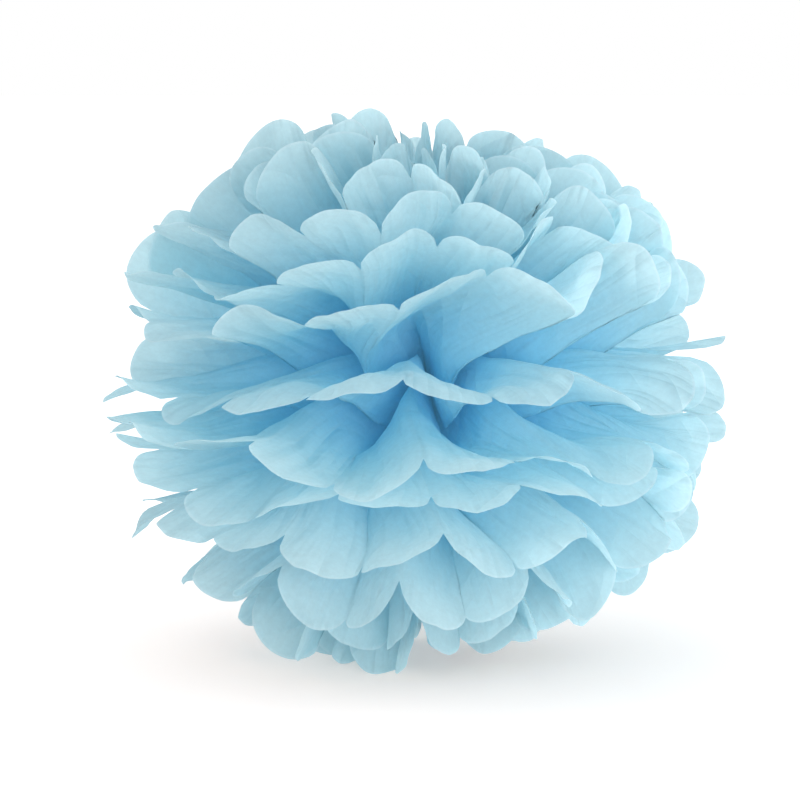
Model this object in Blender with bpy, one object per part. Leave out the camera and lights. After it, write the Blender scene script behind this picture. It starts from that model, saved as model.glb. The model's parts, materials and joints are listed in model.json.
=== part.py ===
# A tissue paper pom pom: twelve sheets of tissue, pleated together like a fan, cut round at both
# ends, tied with a soft wire at the middle and opened into a ball. Metres, +Z up.
# Y runs along the folded strip, X across its pleats, and the model stands on z = 0.

import math

import bpy
import numpy as np

# The paper
SHEET_LENGTH = 0.350         # across the pleats
STRIP_LENGTH = 0.241         # along the pleats, from one round end to the other
PANELS = 11                  # panels between folds
PAPER = 0.00025              # thickness of the solid that stands for one sheet
SCALLOP_DEPTH = 0.015        # from the crown of a round end to its corners at the folds
LENGTH_SPREAD = 0.005        # how far the round ends differ in reach

# The gathered waist in the tie
TIE_SKEW = 0.006             # the tie sits askew by this much at the outermost pleats
WAIST_WIDTH = 0.010          # across the bundle of pleats
WAIST_HEIGHT = 0.008         # height that a pleat is squeezed to
BUNDLE_ROUNDING = 0.5        # share by which the outermost pleats are squeezed lower
LAYER_PITCH = 0.0005         # from one sheet to the next
WAIST_HALF = 0.0012          # half the straight length inside the tie
OPENING_RATE = 0.28          # how fast a pleat grows back to its height away from the tie

# The opened ball
# Elevation of each sheet in degrees, and how far its seam wanders round in panels, from the top
ROWS = (72, 58, 46, 35, 24, 8, -8, -18, -29, -42, -57, -72)
SEAM_SHIFTS = (-0.3, 0.4, 0.0, 0.3, 0.3, -0.4, 0.0, -0.2, 0.2, -0.35, 0.3, 0.0)
MIDDLE_SHEET = 5                 # the sheet that the others are ordered out from
SEAM_GAP = 0.12                  # gap between the front fan and the back fan, in panels
TURN_UP_LENGTH = 0.025           # distance over which a sheet turns up from the tie
RISE = 70                        # curvature with which it starts to rise, per metre
ROW_REACH = 0.90                 # reach of the top and bottom sheets beside that of the middle ones
SHEET_GAP = 0.020                # least angle between two sheets, in radians
TOUCH_SOFTNESS = 0.03            # how softly one sheet comes to lie on the next, in radians
ZIGZAG_SPREAD = 0.35             # how far the folds of a row differ in height, as a share
SIDE_SPREAD = 0.4                # the folds are flatter on the left and deeper on the right, by this share
ROW_SWAY = math.radians(4)       # how far a whole row rises and falls round the ball
CUP = 0.0030                     # how far a petal bulges between its folds
BUNDLE_END = 0.009               # distance from the tie up to which the sheets lie stacked
FAN_FROM = 0.033                 # distance at which they are fanned apart
FREE_FROM = 0.055                # distance from the tie at which the petals start to differ
FREE_AT = 0.105                  # distance at which they differ in full
SURFACE_DROP = 0.1095            # depth of the resting surface under the tie
SURFACE_GIVE = 0.002             # how softly a tip flattens on it

# Where the folds of the front fans end: degrees of elevation, from the left to the right
FRONT_FOLDS = (
    (62, 78, 60, 74, 61, 78, 63, 80, 64, 78, 62, 76),
    (45, 60, 45, 60, 49, 62, 50, 64, 50, 63, 48, 61),
    (31, 37, 33, 38, 41, 48, 40, 50, 36, 52, 36, 49),
    (21, 25, 22, 27, 33, 40, 34, 44, 33, 44, 29, 41),
    (14, 17, 15, 18, 25, 32, 22, 36, 23, 34, 17, 31),
    (-1, 2, 2, 5, 7, 11, 8, 12, 3, 11, -4, 9),
    (-7, -5, -9, -5, -12, -7, -8, -12, -5, -16, -2, -14),
    (-14, -12, -16, -19, -14, -15, -13, -17, -11, -26, -12, -26),
    (-24, -22, -26, -24, -30, -24, -31, -24, -35, -25, -37, -23),
    (-42, -36, -45, -35, -46, -36, -46, -36, -47, -36, -48, -34),
    (-62, -49, -63, -50, -64, -50, -63, -50, -64, -49, -62, -48),
    (-79, -64, -79, -63, -78, -64, -80, -64, -79, -63, -78, -64),
)

# The tie
WIRE = 0.0009
WIRE_CLEARANCE = 0.0003
TWIST_LENGTH = 0.012
TWIST_TURNS = 3
TAIL_LENGTH = 0.003

LOOP_STEPS = 20                  # points round the loop of wire
TWIST_STEPS = 5                  # points in each turn of its twisted ends
STRAND_SPACING = 1.12            # distance between the twisted strands, in wire thicknesses

SEED = 29
LEAST_SPREAD = 0.3               # how narrow a panel is folded at its end, as a share of its width
FLATTEST = 0.96                  # how flat a pleat opens at most, as a share of the panel's width
RIM_MARGIN = 0.006               # from the corners of the round ends back to the last ring of points
TISSUE_BLUE = (0.28, 0.60, 0.82, 1.0)
WIRE_GREY = (0.55, 0.55, 0.56, 1.0)

SHEETS = len(ROWS)
RING = 2 * PANELS                       # panels round the ball, front fan and back fan
PANEL_WIDTH = SHEET_LENGTH / PANELS
PANEL_ANGLE = 2 * math.pi / RING

rng = np.random.default_rng(SEED)
reach_noise = rng.uniform(-1, 1, (SHEETS, RING))
fold_noise = rng.uniform(-1, 1, (SHEETS, RING))
cup_noise = rng.uniform(-0.4, 1, (SHEETS, RING))
sway_noise = rng.uniform(-1, 1, (SHEETS, 8))


def smooth_step(value, low, high):
    t = np.clip((value - low) / (high - low), 0, 1)
    return t * t * (3 - 2 * t)


def soft_plus(value, softness):
    return softness * np.logaddexp(0, value / softness)


def pleat(u):
    # 1 at odd folds, -1 at even folds, straight between them
    return 1 - 2 * np.abs(u % 2 - 1)


def per_petal(table, u):
    # one value for each panel, met at the panel's middle line and blended between
    place = (u - 0.5) % RING
    first = np.floor(place).astype(int)
    share = place - first
    share = share * share * (3 - 2 * share)
    return table[first % RING] * (1 - share) + table[(first + 1) % RING] * share


def waves(weights, u):
    # a smooth value round the ball, from its first four harmonics
    turn = 2 * math.pi * u / RING
    total = 0
    for n in range(4):
        total = total + weights[2 * n] * np.sin((n + 1) * turn)
        total = total + weights[2 * n + 1] * np.cos((n + 1) * turn)
    return total / 2


def row_elevation(sheet):
    return math.radians(ROWS[sheet])


def pleat_height(mean, u, q):
    # half the height of the zigzag: what the folded panel's width leaves, or what the tie allows
    spread = np.minimum(q * np.cos(mean) * PANEL_ANGLE, FLATTEST * PANEL_WIDTH)
    open_height = np.sqrt(PANEL_WIDTH ** 2 - spread ** 2) / 2
    across = np.cos(math.pi * u / PANELS)
    squeezed = WAIST_HEIGHT / 2 * (1 - BUNDLE_ROUNDING * np.abs(across) ** 3)
    return np.minimum(open_height, squeezed + OPENING_RATE * q)


def fold_ends(sheet):
    # elevation of each fold's end, and its sideways shift in panels, so that every panel keeps its width
    folds = np.arange(RING)
    reach = STRIP_LENGTH / 2 - SCALLOP_DEPTH
    row = row_elevation(sheet)
    step = pleat_height(row, folds, reach) / reach * (1 + ZIGZAG_SPREAD * fold_noise[sheet])
    step = step * (1 - SIDE_SPREAD * np.cos(math.pi * folds / PANELS))
    rise = row + ROW_SWAY * waves(sway_noise[sheet], folds) + step * pleat(folds)
    front = np.radians(FRONT_FOLDS[sheet])[:PANELS + 1]
    rise[:len(front)] = front
    ring = np.append(rise, rise[0])
    slant = reach * np.diff(ring)
    least = (LEAST_SPREAD * PANEL_WIDTH) ** 2
    spread = np.sqrt(np.maximum(PANEL_WIDTH ** 2 - slant ** 2, least))
    turns = spread / (reach * np.cos((ring[1:] + ring[:-1]) / 2))
    places = [0.0]
    for fan in (0, 1):
        part = turns[fan * PANELS:(fan + 1) * PANELS]
        places += list(places[-1] + np.cumsum(part) * PANELS / part.sum())
    return rise, np.array(places[:-1]) - folds + SEAM_SHIFTS[sheet] * math.cos(row)


def drift(sheet, u, q):
    # how far the paper has wandered sideways at this distance from the tie, in panels
    first = np.floor(u).astype(int)
    shift = FOLD_ENDS[sheet][1]
    wander = shift[first % RING] + (shift[(first + 1) % RING] - shift[first % RING]) * (u - first)
    return wander * smooth_step(q, FREE_FROM, FREE_AT)


def undrift(sheet, turn, q):
    # the place on the sheet that comes to lie at this turn
    folds = np.arange(-3, RING + 4)
    shift = FOLD_ENDS[sheet][1][folds % RING]
    places = folds + shift * smooth_step(q, FREE_FROM, FREE_AT)[..., None]
    first = np.clip((turn[..., None] >= places).sum(axis=-1) - 1, 0, len(folds) - 2)
    low = np.take_along_axis(places, first[..., None], -1)[..., 0]
    high = np.take_along_axis(places, first[..., None] + 1, -1)[..., 0]
    return folds[first] + (turn - low) / (high - low)


def own_elevation(sheet, turn, q):
    # the angle above the horizon at which the sheet would lie if it were alone
    u = undrift(sheet, turn, q)
    from_tie = np.maximum(q, BUNDLE_END)
    bundled = row_elevation(sheet) * (1 - np.exp(-q / TURN_UP_LENGTH))
    bundled = bundled + pleat_height(bundled, u, q) * pleat(u) / from_tie
    rise = FOLD_ENDS[sheet][0]
    first = np.floor(u).astype(int)
    opened = rise[first % RING] + (rise[(first + 1) % RING] - rise[first % RING]) * (u - first)
    bulge = CUP * per_petal(cup_noise[sheet], u) * smooth_step(q, BUNDLE_END, FREE_AT)
    angle = bundled + (opened - bundled) * smooth_step(q, FAN_FROM, STRIP_LENGTH / 2)
    return angle + bulge * (1 - pleat(u) ** 2) / from_tie


def elevation(sheet, turn, q):
    # the middle sheet lies as it likes, and each further one keeps clear of the one before it
    angle = own_elevation(MIDDLE_SHEET, turn, q)
    for other in range(MIDDLE_SHEET - 1, sheet - 1, -1):
        wanted = own_elevation(other, turn, q)
        angle = angle + SHEET_GAP + soft_plus(wanted - angle - SHEET_GAP, TOUCH_SOFTNESS)
    for other in range(MIDDLE_SHEET + 1, sheet + 1):
        wanted = own_elevation(other, turn, q)
        angle = angle - SHEET_GAP - soft_plus(angle - SHEET_GAP - wanted, TOUCH_SOFTNESS)
    return angle


def sheet_reach(sheet):
    # distance from the tie to the crowns of a sheet's round ends
    row = abs(ROWS[sheet]) / max(ROWS)
    return STRIP_LENGTH / 2 * (1 - (1 - ROW_REACH) * row ** 2)


def rim(sheet, u):
    # distance from the tie to the cut end, a round crown on each panel
    reach = sheet_reach(sheet) + TIE_SKEW * np.cos(math.pi * u / PANELS)
    crown = 2 * (u - np.floor(u)) - 1
    drop = SCALLOP_DEPTH * (1 - np.sqrt(np.maximum(1 - crown ** 2, 0)))
    return reach + LENGTH_SPREAD * per_petal(reach_noise[sheet], u) - drop


def point_rings(sheet):
    # distances from the tie with points on them, and how many points each panel has there
    last = sheet_reach(sheet) - SCALLOP_DEPTH - LENGTH_SPREAD - TIE_SKEW - RIM_MARGIN
    return [(0.0, 1), (BUNDLE_END, 1), (FAN_FROM, 1), (FREE_FROM, 1), (last, 2), (None, 4)]


def layer_points(sheet, fan, u, q, lift):
    # u counts panels round the ball from its left, past the front, and q is the distance from the tie
    middle = PANELS * (fan + 0.5)
    turn = middle + (u - middle) * (1 - SEAM_GAP / PANELS) + drift(sheet, u, q)
    azimuth = PANEL_ANGLE * turn
    angle = elevation(sheet, turn, q)
    # near the tie the sheets are stacked straight above each other, further out they fan apart
    stacked = RISE * q ** 2 * math.sin(row_elevation(sheet)) + pleat_height(0.0, u, q) * pleat(u)
    fanned = smooth_step(q, BUNDLE_END, FAN_FROM)
    out = q + fanned * (q * np.cos(angle) - q) - lift * np.sin(angle) * fanned
    up = stacked + fanned * (q * np.sin(angle) - stacked) + lift * (1 + fanned * (np.cos(angle) - 1))
    across = (u / PANELS - 0.5) if fan == 0 else (1.5 - u / PANELS)
    x = WAIST_WIDTH * across - out * np.cos(azimuth)
    y = (WAIST_HALF if fan else -WAIST_HALF) - out * np.sin(azimuth)
    z = up + LAYER_PITCH * ((SHEETS - 1) / 2 - sheet)
    z = np.where(q > FAN_FROM, soft_plus(z + SURFACE_DROP, SURFACE_GIVE) - SURFACE_DROP, z)
    return np.stack([x, y, z], axis=-1)


def add_strip(faces, low, high, flip):
    # triangles between two rows of points, the outer row as long as the inner or twice as fine
    count = len(low) - 1
    ratio = (len(high) - 1) // count
    for i in range(count):
        outer = high[i * ratio:(i + 1) * ratio + 1]
        if ratio == 1 and i < count / 2:
            # the diagonals run away from the middle, so that none lies in the plane of the seam
            triangles = [(low[i], low[i + 1], outer[1]), (low[i], outer[1], outer[0])]
        elif ratio == 1:
            triangles = [(low[i], low[i + 1], outer[0]), (low[i + 1], outer[1], outer[0])]
        else:
            half = ratio // 2
            triangles = [(low[i], outer[j + 1], outer[j]) for j in range(half)]
            triangles.append((low[i], low[i + 1], outer[half]))
            triangles += [(low[i + 1], outer[j + 1], outer[j]) for j in range(half, ratio)]
        faces += [tuple(reversed(t)) if flip else t for t in triangles]


def add_wall(faces, lower, upper, flip):
    for i in range(len(lower) - 1):
        pair = [(lower[i], lower[i + 1], upper[i + 1]), (lower[i], upper[i + 1], upper[i])]
        faces += [tuple(reversed(t)) if flip else t for t in pair]


def sheet_mesh(sheet, name):
    # two layers of points, an under side and an upper side, closed round the cut edges
    rings = point_rings(sheet)
    last = len(rings) - 1
    points, faces, rows = [], [], {}
    for layer, lift in enumerate((-PAPER / 2, PAPER / 2)):
        for fan in (0, 1):
            for ring, (distance, per_panel) in enumerate(rings):
                steps = np.arange(PANELS * per_panel + 1) / per_panel
                u = steps if fan == 0 else RING - steps
                q = rim(sheet, u) if distance is None else np.full_like(u, distance)
                rows[layer, fan, ring] = list(range(len(points), len(points) + len(u)))
                points += layer_points(sheet, fan, u, q, lift).tolist()
    for layer in (0, 1):
        for fan in (0, 1):
            for ring in range(last):
                inner, outer = rows[layer, fan, ring], rows[layer, fan, ring + 1]
                add_strip(faces, inner, outer, (layer == 1) != (fan == 1))
        add_strip(faces, rows[layer, 1, 0], rows[layer, 0, 0], layer == 1)
    for fan in (0, 1):
        add_wall(faces, rows[0, fan, last], rows[1, fan, last], fan == 1)
        for end in (0, -1):
            lower = [rows[0, fan, ring][end] for ring in range(last + 1)]
            upper = [rows[1, fan, ring][end] for ring in range(last + 1)]
            add_wall(faces, lower, upper, (end == -1) != (fan == 1))
    for end in (0, -1):
        lower = [rows[0, 1, 0][end], rows[0, 0, 0][end]]
        upper = [rows[1, 1, 0][end], rows[1, 0, 0][end]]
        add_wall(faces, lower, upper, end == -1)
    mesh = bpy.data.meshes.new(name)
    mesh.from_pydata(points, [], faces)
    mesh.update()
    return mesh


def make_material(name, colour, roughness, metallic):
    material = bpy.data.materials.new(name)
    material.use_nodes = True
    shader = material.node_tree.nodes["Principled BSDF"]
    shader.inputs["Base Color"].default_value = colour
    shader.inputs["Roughness"].default_value = roughness
    shader.inputs["Metallic"].default_value = metallic
    return material


def wire_route():
    # a loop round the waist, closed at the right by twisting its two ends together
    reach = WIRE / 2 + WIRE_CLEARANCE
    half_x = WAIST_WIDTH / 2 + reach
    half_z = (WAIST_HEIGHT + PAPER + LAYER_PITCH * (SHEETS - 1)) / 2 + reach
    strand = WIRE / 2 * STRAND_SPACING
    start = math.asin(min(strand / half_z, 1))
    loop = []
    for step in range(LOOP_STEPS + 1):
        turn = start + (2 * math.pi - 2 * start) * step / LOOP_STEPS
        corner = 1 / (abs(math.cos(turn)) ** 4 + abs(math.sin(turn)) ** 4) ** 0.25
        loop.append((half_x * corner * math.cos(turn), 0.0, half_z * corner * math.sin(turn)))
    steps = TWIST_TURNS * TWIST_STEPS
    head, tail = [], []
    for step in range(1, steps + 1):
        turn = math.pi / 2 - 2 * math.pi * TWIST_TURNS * step / steps
        x = half_x + TWIST_LENGTH * step / steps
        y, z = strand * math.cos(turn), strand * math.sin(turn)
        head.append((x, y, z))
        tail.append((x, -y, -z))
    end_x = half_x + TWIST_LENGTH + TAIL_LENGTH
    head.append((end_x, head[-1][1], head[-1][2] + TAIL_LENGTH / 2))
    tail.append((end_x, tail[-1][1], tail[-1][2] - TAIL_LENGTH / 2))
    return list(reversed(head)) + loop + tail


def make_tie(collection):
    curve = bpy.data.curves.new("tie_wire", "CURVE")
    curve.dimensions = "3D"
    curve.bevel_depth = WIRE / 2
    curve.bevel_resolution = 1
    curve.use_fill_caps = True
    route = wire_route()
    spline = curve.splines.new("POLY")
    spline.points.add(len(route) - 1)
    for point, place in zip(spline.points, route):
        point.co = (*place, 1)
    tie = bpy.data.objects.new("tie_wire", curve)
    tie.data.materials.append(make_material("wire", WIRE_GREY, 0.35, 1.0))
    collection.objects.link(tie)
    return tie


FOLD_ENDS = [fold_ends(sheet) for sheet in range(SHEETS)]


def main():
    for old in list(bpy.data.objects):
        bpy.data.objects.remove(old, do_unlink=True)
    collection = bpy.data.collections.new("tissue_pom_pom")
    bpy.context.scene.collection.children.link(collection)
    sheets = []
    for sheet in range(SHEETS):
        name = f"tissue_sheet_{sheet + 1:02d}"
        mesh = sheet_mesh(sheet, name)
        mesh.materials.append(make_material(name, TISSUE_BLUE, 0.85, 0.0))
        piece = bpy.data.objects.new(name, mesh)
        collection.objects.link(piece)
        sheets.append(piece)
    tie = make_tie(collection)
    corners = np.array([vertex.co[:] for piece in sheets for vertex in piece.data.vertices])
    low, high = corners.min(axis=0), corners.max(axis=0)
    middle = (low + high) / 2
    for piece in sheets + [tie]:
        piece.location = (-middle[0], -middle[1], -low[2])


main()
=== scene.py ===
import json
import math

import bpy
import numpy as np
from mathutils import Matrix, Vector


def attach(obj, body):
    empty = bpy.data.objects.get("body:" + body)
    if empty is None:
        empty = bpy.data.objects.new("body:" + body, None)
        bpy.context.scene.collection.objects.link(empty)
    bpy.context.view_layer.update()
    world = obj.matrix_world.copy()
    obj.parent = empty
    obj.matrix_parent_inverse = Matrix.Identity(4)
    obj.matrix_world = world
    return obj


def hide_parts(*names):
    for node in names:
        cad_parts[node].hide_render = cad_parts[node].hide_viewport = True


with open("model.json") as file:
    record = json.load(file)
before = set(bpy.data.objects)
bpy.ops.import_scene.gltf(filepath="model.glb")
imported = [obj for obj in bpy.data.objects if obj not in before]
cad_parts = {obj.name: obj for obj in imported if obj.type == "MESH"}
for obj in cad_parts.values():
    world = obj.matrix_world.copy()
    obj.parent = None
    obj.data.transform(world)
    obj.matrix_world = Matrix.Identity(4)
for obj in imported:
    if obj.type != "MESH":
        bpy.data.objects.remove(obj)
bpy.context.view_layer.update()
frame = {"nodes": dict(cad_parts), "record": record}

print("frame loaded:", len(frame["nodes"]), "nodes")

# the paper as it was cut, folded and tied, in metres
paper = {
    "sheetLength": 0.350,      # across the pleats
    "stripLength": 0.241,      # along the pleats, from one round end to the other
    "panels": 11,
    "scallopDepth": 0.015,     # from the crown of a round end to its corners at the folds
    "lengthSpread": 0.005,     # how far the round ends differ in reach
    "tieSkew": 0.006,          # the tie sits askew by this much at the outermost pleats
    "waistWidth": 0.010,       # across the bundle of pleats
    "waistHeight": 0.008,      # height that a pleat is squeezed to
    "bundleRounding": 0.5,     # share by which the outermost pleats are squeezed lower
    "layerPitch": 0.0005,      # from one sheet to the next
    "waistHalf": 0.0012,       # half the straight length inside the tie
    "openingRate": 0.28,       # how fast a pleat grows back to its height away from the tie
    "flattest": 0.96,          # how flat a pleat opens at most, as a share of the panel's width
    "leastSpread": 0.3,        # how narrow a panel is folded at its end, as a share of its width
}

# how the sheets were pulled apart into a ball: elevations in degrees, from the top sheet down
ball = {
    "rows": (72, 58, 46, 35, 24, 8, -8, -18, -29, -42, -57, -72),
    "middleSheet": 5,          # the others lie on this one, and are ordered out from it
    "seamGap": 0.12,           # between the front and the back fan, in panels
    "seamShift": (-0.3, 0.4, 0.0, 0.3, 0.3, -0.4, 0.0, -0.2, 0.2, -0.35, 0.3, 0.0),
    "turnUpLength": 0.025,     # distance over which a sheet turns up from the tie
    "rise": 70,                # curvature with which it starts to rise, per metre
    "rowReach": 0.90,          # reach of the top and bottom sheets beside that of the middle ones
    "sheetGap": 0.020,         # least angle between two sheets, in radians
    "touchSoftness": 0.03,     # how softly one sheet comes to lie on the next, in radians
    "zigzagSpread": 0.35,      # how far the folds of a row differ in height, as a share
    "sideSpread": 0.4,         # folds are flatter on the left and deeper on the right, by this share
    "rowSway": 4.0,            # how far a whole row rises and falls round the ball, in degrees
    "cup": 0.0030,             # how far a petal bulges between its folds
    "cupRange": (-0.4, 1),     # most petals bulge up, and a few down
    "bundleEnd": 0.009,        # distance from the tie up to which the sheets lie stacked
    "fanFrom": 0.033,          # distance at which they are fanned apart
    "freeFrom": 0.055,         # between these two distances the petals come to differ
    "freeAt": 0.105,
    "surfaceDrop": 0.1095,     # from the tie down to the surface that the ball rests on
    "surfaceGive": 0.002,      # how softly a tip flattens on it
    "seed": 29,
}

# where the folds of the front fans end, in degrees of elevation, from the left to the right
frontFolds = (
    (62, 78, 60, 74, 61, 78, 63, 80, 64, 78, 62, 76),
    (45, 60, 45, 60, 49, 62, 50, 64, 50, 63, 48, 61),
    (31, 37, 33, 38, 41, 48, 40, 50, 36, 52, 36, 49),
    (21, 25, 22, 27, 33, 40, 34, 44, 33, 44, 29, 41),
    (14, 17, 15, 18, 25, 32, 22, 36, 23, 34, 17, 31),
    (-1, 2, 2, 5, 7, 11, 8, 12, 3, 11, -4, 9),
    (-7, -5, -9, -5, -12, -7, -8, -12, -5, -16, -2, -14),
    (-14, -12, -16, -19, -14, -15, -13, -17, -11, -26, -12, -26),
    (-24, -22, -26, -24, -30, -24, -31, -24, -35, -25, -37, -23),
    (-42, -36, -45, -35, -46, -36, -46, -36, -47, -36, -48, -34),
    (-62, -49, -63, -50, -64, -50, -63, -50, -64, -49, -62, -48),
    (-79, -64, -79, -63, -78, -64, -80, -64, -79, -63, -78, -64),
)

# the fine shape of the tissue
tissue = {
    "pointsPerPanel": 22,
    "pointsPerFold": 60,
    "pointCrowding": 1.15,            # above 1 the points lie closer near the tie
    "foldSharpness": (0.999, 0.992),  # near the tie, and at the rim
    "softensFrom": 0.01,              # distance from the tie
    "curl": 3.5,                      # degrees that a rim bends up or down
    "bandCurl": -5.0,                 # the same for the front of the middle sheet, which rolls down
    "bandFolds": (2, 9),              # the folds that this roll runs between
    "flutter": 1.1,                   # degrees that a rim waves within a petal
    "curlFrom": 0.70,                 # share of the way to the rim
    "handCut": 0.0005,                # how far the cut strays
    "wrinkleDepth": 0.0004,
    "wrinkleLength": 0.040,
    "wrinklesPerPetal": 3.1,
    "wrinklesGrow": (0.010, 0.07),    # distances from the tie, from none to full depth
    "creaseDepth": 0.006,
    # creases: about how many across a petal and along a metre, their slant, their share of the depth
    "creases": ((2.3, 7.0, 0.0, 1.0), (1.5, 22.0, 30.0, 0.7), (1.5, 22.0, -30.0, 0.7)),
    "seed": 5,
}

sheets = len(ball["rows"])
rows = np.radians(ball["rows"])
ringPanels = 2 * paper["panels"]      # round the ball, front fan and back fan
panelWidth = paper["sheetLength"] / paper["panels"]
panelAngle = 2 * math.pi / ringPanels
swayWaves = 4

rng = np.random.default_rng(ball["seed"])
reachNoise = rng.uniform(-1, 1, (sheets, ringPanels))
foldNoise = rng.uniform(-1, 1, (sheets, ringPanels))
cupNoise = rng.uniform(*ball["cupRange"], (sheets, ringPanels))
swayNoise = rng.uniform(-1, 1, (sheets, 2 * swayWaves))
curlNoise = rng.uniform(-1, 1, (sheets, ringPanels)) * tissue["curl"]
curlNoise[ball["middleSheet"], slice(*tissue["bandFolds"])] = tissue["bandCurl"]
cutNoise = rng.uniform(-1, 1, (sheets, 3 * ringPanels))
flutterNoise = rng.uniform(-1, 1, (sheets, 2 * ringPanels)) * tissue["flutter"]


# in what follows, u counts the folds round the ball and q is the distance from the tie


def smoothStep(value, low, high):
    t = np.clip((value - low) / (high - low), 0, 1)
    return t * t * (3 - 2 * t)


def softPlus(value, softness):
    return softness * np.logaddexp(0, value / softness)


def pleat(u, q=None):
    # 1 at odd folds, -1 at even ones; the fold softens towards the rim
    sharp, soft = tissue["foldSharpness"]
    if q is not None:
        sharp = sharp + (soft - sharp) * smoothStep(q, tissue["softensFrom"], paper["stripLength"] / 2)
    return np.arcsin(sharp * -np.cos(math.pi * u)) / np.arcsin(sharp)


def perPetal(table, u):
    # one value for each panel, met at the panel's middle line and blended between
    place = (u - 0.5) % ringPanels
    first = np.floor(place).astype(int)
    share = place - first
    share = share * share * (3 - 2 * share)
    return table[first % ringPanels] * (1 - share) + table[(first + 1) % ringPanels] * share


def around(values, u):
    # values evenly spaced round the ball, with straight steps between them
    places = np.linspace(0, ringPanels, len(values) + 1)
    return np.interp(u % ringPanels, places, np.append(values, values[0]))


def waves(weights, u):
    turn = 2 * math.pi * u / ringPanels
    total = 0
    for n in range(swayWaves):
        total = total + weights[2 * n] * np.sin((n + 1) * turn) + weights[2 * n + 1] * np.cos((n + 1) * turn)
    return total / 2


def pleatHeight(mean, u, q):
    # half the height of the zigzag: what the folded panel's width leaves, or what the tie allows
    spread = np.minimum(q * np.cos(mean) * panelAngle, paper["flattest"] * panelWidth)
    openHeight = np.sqrt(panelWidth ** 2 - spread ** 2) / 2
    across = np.cos(math.pi * u / paper["panels"])
    squeezed = paper["waistHeight"] / 2 * (1 - paper["bundleRounding"] * np.abs(across) ** 3)
    return np.minimum(openHeight, squeezed + paper["openingRate"] * q)


def foldEnds(sheet):
    # elevation of each fold's end, and its place round the ball, so that every panel keeps its width
    folds = np.arange(ringPanels)
    reach = paper["stripLength"] / 2 - paper["scallopDepth"]
    row = rows[sheet] + np.radians(ball["rowSway"]) * waves(swayNoise[sheet], folds)
    step = pleatHeight(rows[sheet], folds, reach) / reach * (1 + ball["zigzagSpread"] * foldNoise[sheet])
    step = step * (1 - ball["sideSpread"] * np.cos(math.pi * folds / paper["panels"]))
    rise = row + step * (2 * (folds % 2) - 1)
    front = np.radians(frontFolds[sheet])
    rise[:len(front)] = front
    ring = np.append(rise, rise[0])
    slant = reach * np.diff(ring)
    least = paper["leastSpread"] * panelWidth
    opened = np.sqrt(np.maximum(panelWidth ** 2 - slant ** 2, least ** 2))
    turns = opened / (reach * np.cos((ring[1:] + ring[:-1]) / 2))
    places = [0.0]
    for fan in (0, 1):
        part = turns[fan * paper["panels"]:(fan + 1) * paper["panels"]]
        places += list(places[-1] + np.cumsum(part) * paper["panels"] / part.sum())
    shift = np.array(places[:-1]) - folds + ball["seamShift"][sheet] * math.cos(rows[sheet])
    return rise, shift


foldRise, foldShift = (np.array(part) for part in zip(*[foldEnds(sheet) for sheet in range(sheets)]))


def drift(sheet, u, q):
    # how far a fold wanders sideways, in panels
    place = u % ringPanels
    first = np.floor(place).astype(int)
    share = place - first
    shift = foldShift[sheet]
    wander = shift[first % ringPanels] * (1 - share) + shift[(first + 1) % ringPanels] * share
    return wander * smoothStep(q, ball["freeFrom"], ball["freeAt"])


def undrift(sheet, turn, q):
    # the place on the sheet that comes to lie at this turn
    folds = np.arange(-3, ringPanels + 4)
    free = smoothStep(q, ball["freeFrom"], ball["freeAt"])[..., None]
    places = folds + foldShift[sheet][folds % ringPanels] * free
    first = np.clip((turn[..., None] >= places).sum(axis=-1) - 1, 0, len(folds) - 2)[..., None]
    low = np.take_along_axis(places, first, -1)[..., 0]
    high = np.take_along_axis(places, first + 1, -1)[..., 0]
    return folds[first[..., 0]] + (turn - low) / (high - low)


def crownReach(sheet, u):
    # from the tie to the crowns of the round ends
    row = abs(ball["rows"][sheet]) / max(ball["rows"])
    reach = paper["stripLength"] / 2 * (1 - (1 - ball["rowReach"]) * row ** 2)
    reach = reach + paper["tieSkew"] * np.cos(math.pi * u / paper["panels"])
    return reach + paper["lengthSpread"] * perPetal(reachNoise[sheet], u)


def rim(sheet, u):
    # from the tie to the cut edge
    crown = 2 * (u - np.floor(u)) - 1
    drop = paper["scallopDepth"] * (1 - np.sqrt(np.maximum(1 - crown ** 2, 0)))
    return crownReach(sheet, u) - drop + tissue["handCut"] * around(cutNoise[sheet], u)


def ownElevation(sheet, turn, q):
    # the angle at which a sheet would lie if there were no others
    u = undrift(sheet, turn, q)
    wave = pleat(u, q)
    bundled = rows[sheet] * (1 - np.exp(-q / ball["turnUpLength"]))
    bundled = bundled + pleatHeight(bundled, u, q) * wave / np.maximum(q, ball["bundleEnd"])
    first = np.floor(u).astype(int)
    share = (1 + (1 - 2 * (first % 2)) * wave) / 2
    rise = foldRise[sheet]
    opened = rise[first % ringPanels] * (1 - share) + rise[(first + 1) % ringPanels] * share
    bulge = ball["cup"] * perPetal(cupNoise[sheet], u) * smoothStep(q, ball["bundleEnd"], ball["freeAt"])
    angle = bundled + (opened - bundled) * smoothStep(q, ball["fanFrom"], paper["stripLength"] / 2)
    angle = angle + bulge * (1 - wave ** 2) / np.maximum(q, ball["bundleEnd"])
    near = (q / crownReach(sheet, u) - tissue["curlFrom"]) / (1 - tissue["curlFrom"])
    bend = perPetal(curlNoise[sheet], u) + around(flutterNoise[sheet], u)
    return angle + np.radians(bend) * np.clip(near, 0, 1.2) ** 2


def elevation(sheet, turn, q):
    # each sheet lies softly on the one before it, going out from the middle sheet
    middle = ball["middleSheet"]
    gap, softness = ball["sheetGap"], ball["touchSoftness"]
    angle = ownElevation(middle, turn, q)
    for other in range(middle - 1, sheet - 1, -1):
        angle = angle + gap + softPlus(ownElevation(other, turn, q) - angle - gap, softness)
    for other in range(middle + 1, sheet + 1):
        angle = angle - gap - softPlus(angle - gap - ownElevation(other, turn, q), softness)
    return angle


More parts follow.
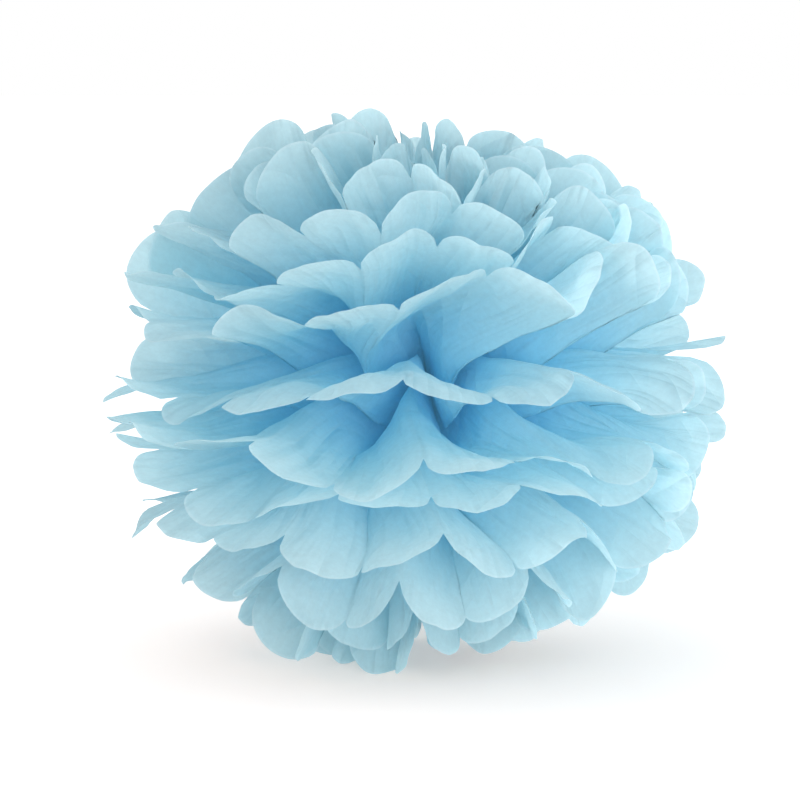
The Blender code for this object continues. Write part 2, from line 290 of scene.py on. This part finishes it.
def flatSheet(sheet):
    # the sheet as a grid of points that know their fold, their distance from the tie and their angle
    columns = paper["panels"] * tissue["pointsPerPanel"] + 1
    rings = tissue["pointsPerFold"] + 1
    names = ("turn", "tieDistance", "restAngle", "stackHeight", "waistX", "waistY", "rimShare", "petal")
    grid = {name: [] for name in names}
    for fan in (0, 1):
        steps = np.linspace(0, paper["panels"], columns)
        shares = np.linspace(0, 1, rings) ** tissue["pointCrowding"]
        u, share = np.meshgrid(steps if fan == 0 else ringPanels - steps, shares, indexing="ij")
        q = rim(sheet, u) * share
        middle = paper["panels"] * (fan + 0.5)
        turn = middle + (u - middle) * (1 - ball["seamGap"] / paper["panels"]) + drift(sheet, u, q)
        stack = ball["rise"] * q ** 2 * math.sin(rows[sheet]) + pleatHeight(0.0, u, q) * pleat(u)
        stack = stack + paper["layerPitch"] * ((sheets - 1) / 2 - sheet)
        side = (u / paper["panels"] - 0.5) if fan == 0 else (1.5 - u / paper["panels"])
        waistX = paper["waistWidth"] * side
        waistY = np.full_like(q, paper["waistHalf"] if fan else -paper["waistHalf"])
        petal = u + 2 * ringPanels * sheet      # petals are counted on from sheet to sheet
        values = (turn, q, elevation(sheet, turn, q), stack, waistX, waistY, share, petal)
        for name, value in zip(names, values):
            grid[name].append(value)
    fields = {name: np.concatenate([block.ravel() for block in blocks]) for name, blocks in grid.items()}
    faces = []
    backStart = columns * rings
    for start in (0, backStart):
        for i in range(columns - 1):
            for j in range(rings - 1):
                a = start + i * rings + j
                quad = (a, a + 1, a + rings + 1, a + rings)
                faces.append(quad if start == 0 else quad[::-1])
    for i in range(columns - 1):
        a, b = i * rings, backStart + i * rings
        faces.append((a, a + rings, b + rings, b))
    return fields, faces


def addFields(mesh, fields):
    for name, values in fields.items():
        attribute = mesh.attributes.new(name, "FLOAT", "POINT")
        attribute.data.foreach_set("value", values.astype(np.float32))


def wire(tree, kind, inputs=(), **settings):
    # adds a node; inputs are values or sockets, in the order of the node's sockets or by name
    node = tree.nodes.new(kind)
    for key, value in settings.items():
        setattr(node, key, value)
    pairs = inputs.items() if isinstance(inputs, dict) else enumerate(inputs)
    for key, value in pairs:
        if value is None:
            continue
        if isinstance(value, bpy.types.NodeSocket):
            tree.links.new(value, node.inputs[key])
        else:
            node.inputs[key].default_value = value
    return node


def maths(tree, operation, *values):
    return wire(tree, "ShaderNodeMath", values, operation=operation).outputs[0]


def remap(tree, value, old, new=(0, 1), curve="LINEAR"):
    # takes the old range to the new one, and stays inside it
    inputs = {"Value": value, "From Min": old[0], "From Max": old[1], "To Min": new[0], "To Max": new[1]}
    return wire(tree, "ShaderNodeMapRange", inputs, interpolation_type=curve).outputs[0]


def readField(tree, name):
    field = wire(tree, "GeometryNodeInputNamedAttribute", {"Name": name}, data_type="FLOAT")
    return field.outputs["Attribute"]


def kink(tree, petal, q, crease, seed=None, **settings):
    # folds sharply along the lines where a slow noise passes its middle value
    inPetal, inMetre, slant = crease[:3]
    across = maths(tree, "ADD", maths(tree, "MULTIPLY", petal, inPetal), maths(tree, "MULTIPLY", q, slant))
    along = maths(tree, "MULTIPLY", q, inMetre)
    point = wire(tree, "ShaderNodeCombineXYZ", [across, along, seed]).outputs[0]
    noise = wire(tree, "ShaderNodeTexNoise", {"Vector": point, "Scale": 1.0, "Detail": 0.0}, **settings)
    return maths(tree, "ABSOLUTE", maths(tree, "SUBTRACT", noise.outputs[0], 0.5))


def makeSheetTree():
    # opens a flat sheet into its place in the ball, and wrinkles and creases it
    tree = bpy.data.node_groups.new("openedTissue", "GeometryNodeTree")
    tree.interface.new_socket("Geometry", in_out="INPUT", socket_type="NodeSocketGeometry")
    sizes = {
        "Panel Angle": panelAngle, "Bundle End": ball["bundleEnd"], "Fan From": ball["fanFrom"],
        "Surface Drop": ball["surfaceDrop"], "Wrinkle Depth": tissue["wrinkleDepth"],
        "Wrinkle Length": tissue["wrinkleLength"], "Crease Depth": tissue["creaseDepth"], "Seed": 0.0,
    }
    for name, value in sizes.items():
        tree.interface.new_socket(name, in_out="INPUT", socket_type="NodeSocketFloat").default_value = value
    tree.interface.new_socket("Tie Centre", in_out="INPUT", socket_type="NodeSocketVector")
    tree.interface.new_socket("Material", in_out="INPUT", socket_type="NodeSocketMaterial")
    tree.interface.new_socket("Geometry", in_out="OUTPUT", socket_type="NodeSocketGeometry")
    given = tree.nodes.new("NodeGroupInput").outputs

    # out and up, in the upright plane of each fold line
    q = readField(tree, "tieDistance")
    angle = readField(tree, "restAngle")
    stack = readField(tree, "stackHeight")
    azimuth = maths(tree, "MULTIPLY", readField(tree, "turn"), given["Panel Angle"])
    fanned = remap(tree, q, (given["Bundle End"], given["Fan From"]), curve="SMOOTHSTEP")
    shortened = maths(tree, "SUBTRACT", maths(tree, "COSINE", angle), 1.0)
    out = maths(tree, "MULTIPLY", q, maths(tree, "ADD", 1.0, maths(tree, "MULTIPLY", fanned, shortened)))
    lifted = maths(tree, "SUBTRACT", maths(tree, "MULTIPLY", q, maths(tree, "SINE", angle)), stack)
    up = maths(tree, "ADD", stack, maths(tree, "MULTIPLY", fanned, lifted))
    outX = maths(tree, "MULTIPLY", out, maths(tree, "COSINE", azimuth))
    outY = maths(tree, "MULTIPLY", out, maths(tree, "SINE", azimuth))
    x = maths(tree, "SUBTRACT", readField(tree, "waistX"), outX)
    y = maths(tree, "SUBTRACT", readField(tree, "waistY"), outY)
    place = wire(tree, "ShaderNodeCombineXYZ", [x, y, up]).outputs[0]
    opened = wire(tree, "GeometryNodeSetPosition",
                  {"Geometry": given["Geometry"], "Position": place}).outputs[0]

    # soft wrinkles run out from the tie: quick across the folds, slow along them
    petal = readField(tree, "petal")
    across = maths(tree, "MULTIPLY", petal, tissue["wrinklesPerPetal"])
    along = maths(tree, "DIVIDE", q, given["Wrinkle Length"])
    point = wire(tree, "ShaderNodeCombineXYZ", [across, along, given["Seed"]]).outputs[0]
    soft = wire(tree, "ShaderNodeTexNoise", {"Vector": point, "Scale": 1.0, "Detail": 3.0, "Roughness": 0.55})
    deep = maths(tree, "MULTIPLY", given["Wrinkle Depth"], 2.0)
    height = maths(tree, "MULTIPLY", maths(tree, "SUBTRACT", soft.outputs[0], 0.5), deep)
    # sharp creases: long ones from the tie, and oblique ones
    for crease in tissue["creases"]:
        seed = maths(tree, "ADD", given["Seed"], 3.0 + crease[2] / 10)
        depth = maths(tree, "MULTIPLY", given["Crease Depth"], crease[3])
        sharp = maths(tree, "MULTIPLY", kink(tree, petal, q, crease, seed), depth)
        height = maths(tree, "ADD", height, sharp)
    height = maths(tree, "MULTIPLY", height, remap(tree, q, tissue["wrinklesGrow"]))
    normal = tree.nodes.new("GeometryNodeInputNormal").outputs[0]
    push = wire(tree, "ShaderNodeVectorMath", {0: normal, "Scale": height}, operation="SCALE").outputs[0]
    wrinkled = wire(tree, "GeometryNodeSetPosition", {"Geometry": opened, "Offset": push}).outputs[0]

    # nothing sinks into the surface that the ball rests on
    position = tree.nodes.new("GeometryNodeInputPosition").outputs[0]
    parts = wire(tree, "ShaderNodeSeparateXYZ", [position]).outputs
    surface = maths(tree, "MULTIPLY", given["Surface Drop"], -1.0)
    held = maths(tree, "SMOOTH_MAX", parts[2], surface, ball["surfaceGive"])
    rested = wire(tree, "ShaderNodeCombineXYZ", [parts[0], parts[1], held]).outputs[0]
    resting = wire(tree, "GeometryNodeSetPosition",
                   {"Geometry": wrinkled, "Position": rested, "Offset": given["Tie Centre"]}).outputs[0]
    smooth = wire(tree, "GeometryNodeSetShadeSmooth", {"Geometry": resting, "Shade Smooth": True}).outputs[0]
    real = wire(tree, "GeometryNodeRealizeInstances", [smooth]).outputs[0]
    coloured = wire(tree, "GeometryNodeSetMaterial", {"Geometry": real, "Material": given["Material"]})
    tree.links.new(coloured.outputs[0], tree.nodes.new("NodeGroupOutput").inputs[0])
    return tree


def setInput(modifier, name, value):
    for item in modifier.node_group.interface.items_tree:
        if item.name == name and item.in_out == "INPUT":
            modifier[item.identifier] = value


def plainMesh(piece):
    # the evaluated shape as a mesh of its own, with no modifier left
    graph = bpy.context.evaluated_depsgraph_get()
    mesh = bpy.data.meshes.new_from_object(piece.evaluated_get(graph))
    mesh.name = piece.name
    piece.modifiers.clear()
    piece.data = mesh


# light that the tissue sends back and lets through: painted shade near the tie, where the colours are darker
# and bluer, and painted light towards the rims, where they are paler
finish = {
    "deepReflected": (0.43, 0.81, 0.965, 1),
    "rimReflected": (0.64, 0.84, 0.895, 1),
    "deepTransmitted": (0.41, 0.82, 0.97, 1),
    "rimTransmitted": (0.62, 0.85, 0.905, 1),
    "rimFrom": (0.30, 0.98),         # shares of the way out between which the painted light of the rim takes over from the painted shade near the tie
    "edge": (0.72, 0.90, 0.95, 1),   # a painted highlight along the cut
    "edgeFrom": 0.988,
    "glow": (0.036, 0.066, 0.067),   # painted light: a glow near the tie that stands in for light that crossed many layers
    "translucency": 0.58,
    "roughness": 0.8,
    "specular": 0.2,
    "mottle": (0.97, 1.03),
    "mottleScale": 420.0,
    "fibreDepth": 0.00002,
    "fibreScale": 1600.0,
    "creaseDepth": 0.0030,
    # finer creases, with the same four values as those of the sheet's shape
    "creases": ((4.0, 11.0, 0.0, 0.9), (2.4, 40.0, 55.0, 0.9), (11.0, 16.0, 0.0, 0.2)),
}


def mixColours(tree, share, first, second):
    return wire(tree, "ShaderNodeMix", {0: share, 6: first, 7: second}, data_type="RGBA").outputs[2]


def emptyTree(owner):
    owner.use_nodes = True
    owner.node_tree.nodes.clear()
    return owner.node_tree


def readAttribute(tree, name):
    return wire(tree, "ShaderNodeAttribute", attribute_name=name).outputs["Fac"]


def makeTissueMaterial():
    material = bpy.data.materials.new("tissue paper")
    tree = emptyTree(material)
    coordinates = wire(tree, "ShaderNodeTexCoord").outputs["Object"]
    mottle = wire(tree, "ShaderNodeTexNoise", {"Vector": coordinates, "Scale": finish["mottleScale"],
                  "Detail": 2.0, "Roughness": 0.65}).outputs[0]
    fibre = wire(tree, "ShaderNodeTexNoise", {"Vector": coordinates, "Scale": finish["fibreScale"],
                 "Detail": 1.0}).outputs[0]
    tone = remap(tree, mottle, (0.3, 0.7), finish["mottle"])
    rimShare = readAttribute(tree, "rimShare")
    # the colour turns from painted shade near the tie to painted light at the rim
    paintedShadeToLight = remap(tree, rimShare, finish["rimFrom"], curve="SMOOTHSTEP")
    # a painted highlight along the cut edge
    paintedEdgeShare = remap(tree, rimShare, (finish["edgeFrom"], 1.0))
    colours = []
    for kind in ("Reflected", "Transmitted"):
        blend = mixColours(tree, paintedShadeToLight, finish["deep" + kind], finish["rim" + kind])
        edged = mixColours(tree, paintedEdgeShare, blend, finish["edge"])
        toned = wire(tree, "ShaderNodeVectorMath", {0: edged, "Scale": tone}, operation="SCALE")
        colours.append(toned.outputs[0])
    petal, q = readAttribute(tree, "petal"), readAttribute(tree, "tieDistance")
    height = maths(tree, "MULTIPLY", fibre, finish["fibreDepth"])
    for crease in finish["creases"]:
        line = kink(tree, petal, q, crease, noise_dimensions="2D")
        sharp = maths(tree, "MULTIPLY", line, finish["creaseDepth"] * crease[3])
        height = maths(tree, "ADD", height, sharp)
    bump = wire(tree, "ShaderNodeBump", {"Strength": 1.0, "Distance": 1.0, "Height": height}).outputs[0]
    # painted light: the tissue glows near the tie, fading out towards the rim
    paintedGlowShare = maths(tree, "SUBTRACT", 1.0, paintedShadeToLight)
    paintedGlowNearTie = wire(tree, "ShaderNodeVectorMath", {0: finish["glow"], "Scale": paintedGlowShare},
                  operation="SCALE").outputs[0]
    skin = wire(tree, "ShaderNodeBsdfPrincipled", {
        "Base Color": colours[0], "Roughness": finish["roughness"], "Specular IOR Level": finish["specular"],
        "Emission Color": paintedGlowNearTie, "Emission Strength": 1.0, "Normal": bump}).outputs[0]
    through = wire(tree, "ShaderNodeBsdfTranslucent", {"Color": colours[1], "Normal": bump}).outputs[0]
    both = wire(tree, "ShaderNodeMixShader", [finish["translucency"], skin, through]).outputs[0]
    tree.links.new(both, wire(tree, "ShaderNodeOutputMaterial").inputs["Surface"])
    return material


def makeSheets(tieCentre):
    tree = makeSheetTree()
    material = makeTissueMaterial()
    for sheet in range(sheets):
        name = f"tissue_{sheet + 1:02d}"
        fields, faces = flatSheet(sheet)
        mesh = bpy.data.meshes.new(name)
        flat = (fields["petal"] * panelWidth, fields["tieDistance"], np.zeros_like(fields["petal"]))
        mesh.from_pydata(np.stack(flat, axis=-1).tolist(), [], faces)
        addFields(mesh, fields)
        piece = bpy.data.objects.new(name, mesh)
        bpy.context.scene.collection.objects.link(piece)
        modifier = piece.modifiers.new("open the sheet", "NODES")
        modifier.node_group = tree
        setInput(modifier, "Seed", float(tissue["seed"] + 10 * sheet))
        setInput(modifier, "Tie Centre", tieCentre)
        setInput(modifier, "Material", material)
        plainMesh(piece)
        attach(piece, "root")
        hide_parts(f"tissue_sheet_{sheet + 1:02d}")


softWire = {
    "colour": (0.55, 0.56, 0.58, 1),
    "roughness": (0.28, 0.5),
    "grainScale": 900.0,
}


def makeWireMaterial():
    material = bpy.data.materials.new("soft wire")
    material.use_nodes = True
    tree = material.node_tree
    shader = tree.nodes["Principled BSDF"]
    coordinates = wire(tree, "ShaderNodeTexCoord").outputs["Object"]
    grain = wire(tree, "ShaderNodeTexNoise", {"Vector": coordinates, "Scale": softWire["grainScale"],
                 "Detail": 3.0}).outputs[0]
    tree.links.new(remap(tree, grain, (0, 1), softWire["roughness"]), shader.inputs["Roughness"])
    shader.inputs["Base Color"].default_value = softWire["colour"]
    shader.inputs["Metallic"].default_value = 1
    return material


studio = {
    "distance": 1.2,              # from the camera to the tie
    "elevation": 8.0,             # degrees that the camera looks down
    "frameWidth": 0.323,          # what the picture spans at the tie's distance
    "tiePixel": (430, 390),       # where the tie lies in an 800 by 800 picture
    "world": (0.88, 0.35),        # at the horizon, and overhead
    # lamps: their place, width and power
    "lamps": (
        ("soft box above", (-0.7, -0.3, 1.2), 0.7, 0.8),
        ("soft box right", (1.0, 0.1, 0.18), 0.7, 5.2),
        ("soft box front", (0.45, -1.3, 0.15), 0.8, 7.4),
    ),
    "lampsAim": (0, 0, 0.1),
    "floorSize": 12,
    "floorColour": (0.95, 0.95, 0.95, 1),
    # the same floor as the camera sees it: a painted warm tint where the ball's blue light falls, which makes
    # the shadow neutral
    "floorSeen": (0.92, 0.90, 0.89, 1),
    "floorUnder": (0.93, 0.69, 0.61, 1),
    "blueCentre": (-0.03, 0.0, 0.0),
    "blueReach": (0.05, 0.18),
    # and lifted to white by a glow away from the shadow; the glow is weaker near shadowCentre, so the
    # shadow's darkness and place are partly painted shadow
    "floorLift": (0.26, 0.85),
    "shadowCentre": (0.04, 0.0, 0.0),
    "shadowReach": (0.01, 0.30),
}


def seenRays(tree):
    # 1 for rays from the camera, straight or by way of metal and glass
    rays = wire(tree, "ShaderNodeLightPath").outputs
    bent = maths(tree, "MAXIMUM", rays["Is Glossy Ray"], rays["Is Transmission Ray"])
    return maths(tree, "MAXIMUM", rays["Is Camera Ray"], bent)


def distanceTo(tree, coordinates, centre):
    return wire(tree, "ShaderNodeVectorMath", [coordinates, centre], operation="DISTANCE").outputs["Value"]


def makeFloor():
    bpy.ops.mesh.primitive_plane_add(size=studio["floorSize"])
    floor = bpy.context.object
    floor.name = "floor"
    material = bpy.data.materials.new("floor")
    tree = emptyTree(material)
    diffuse = wire(tree, "ShaderNodeBsdfDiffuse", {"Color": studio["floorColour"]}).outputs[0]
    coordinates = wire(tree, "ShaderNodeTexCoord").outputs["Object"]
    # painted warm tint in the shadow under the ball
    outsidePaintedTint = remap(tree, distanceTo(tree, coordinates, studio["blueCentre"]), studio["blueReach"])
    paintedShadowTint = mixColours(tree, outsidePaintedTint, studio["floorUnder"], studio["floorSeen"])
    tinted = wire(tree, "ShaderNodeBsdfDiffuse", {"Color": paintedShadowTint}).outputs[0]
    # a glow that lifts the floor to white, weaker round shadowCentre: partly painted shadow
    liftAroundPaintedShadow = remap(tree, distanceTo(tree, coordinates, studio["shadowCentre"]), studio["shadowReach"],
                 studio["floorLift"])
    glow = wire(tree, "ShaderNodeEmission", {"Color": (1, 1, 1, 1), "Strength": liftAroundPaintedShadow}).outputs[0]
    lifted = wire(tree, "ShaderNodeAddShader", [tinted, glow]).outputs[0]
    shown = wire(tree, "ShaderNodeMixShader", [seenRays(tree), diffuse, lifted]).outputs[0]
    tree.links.new(shown, wire(tree, "ShaderNodeOutputMaterial").inputs["Surface"])
    floor.data.materials.append(material)


def makeLight():
    world = bpy.data.worlds.new("studio")
    bpy.context.scene.world = world
    tree = emptyTree(world)
    coordinates = wire(tree, "ShaderNodeTexCoord").outputs["Generated"]
    upward = wire(tree, "ShaderNodeSeparateXYZ", [coordinates]).outputs[2]
    strength = remap(tree, upward, (0, 1), studio["world"])
    room = wire(tree, "ShaderNodeBackground", {"Color": (1, 1, 1, 1), "Strength": strength}).outputs[0]
    white = wire(tree, "ShaderNodeBackground", {"Color": (1, 1, 1, 1), "Strength": 1.0}).outputs[0]
    mixed = wire(tree, "ShaderNodeMixShader", [seenRays(tree), room, white]).outputs[0]
    tree.links.new(mixed, wire(tree, "ShaderNodeOutputWorld").inputs["Surface"])
    for name, place, size, energy in studio["lamps"]:
        lamp = bpy.data.lights.new(name, "AREA")
        lamp.shape = "DISK"
        lamp.size = size
        lamp.energy = energy
        box = bpy.data.objects.new(name, lamp)
        box.location = place
        box.rotation_euler = (Vector(studio["lampsAim"]) - box.location).to_track_quat("-Z", "Y").to_euler()
        bpy.context.scene.collection.objects.link(box)


def makeCamera(tieCentre):
    data = bpy.data.cameras.new("camera")
    camera = bpy.data.objects.new("camera", data)
    bpy.context.scene.collection.objects.link(camera)
    tilt = math.radians(studio["elevation"])
    metresPerPixel = studio["frameWidth"] / 800
    right = (studio["tiePixel"][0] - 400) * metresPerPixel
    above = (400 - studio["tiePixel"][1]) * metresPerPixel
    upward = Vector((0, math.sin(tilt), math.cos(tilt)))
    aim = tieCentre - Vector((right, 0, 0)) - upward * above
    back = Vector((0, -math.cos(tilt), math.sin(tilt)))
    camera.location = aim + back * studio["distance"]
    camera.rotation_euler = (-back).to_track_quat("-Z", "Y").to_euler()
    data.sensor_width = 36
    data.lens = data.sensor_width / 2 * studio["distance"] / (studio["frameWidth"] / 2)
    data.clip_start = 0.01
    data.clip_end = 50
    bpy.context.scene.camera = camera


tieCentre = Vector(frame["record"]["mounts"][0]["pos_m"])
bpy.context.scene.view_settings.view_transform = "Standard"
makeCamera(tieCentre)
makeFloor()
makeLight()
print("studio ready")
makeSheets(tieCentre)
print("sheets folded and opened")
wireMaterial = makeWireMaterial()
for slot in frame["nodes"]["tie_wire"].material_slots:
    slot.material = wireMaterial
print("tie finished")
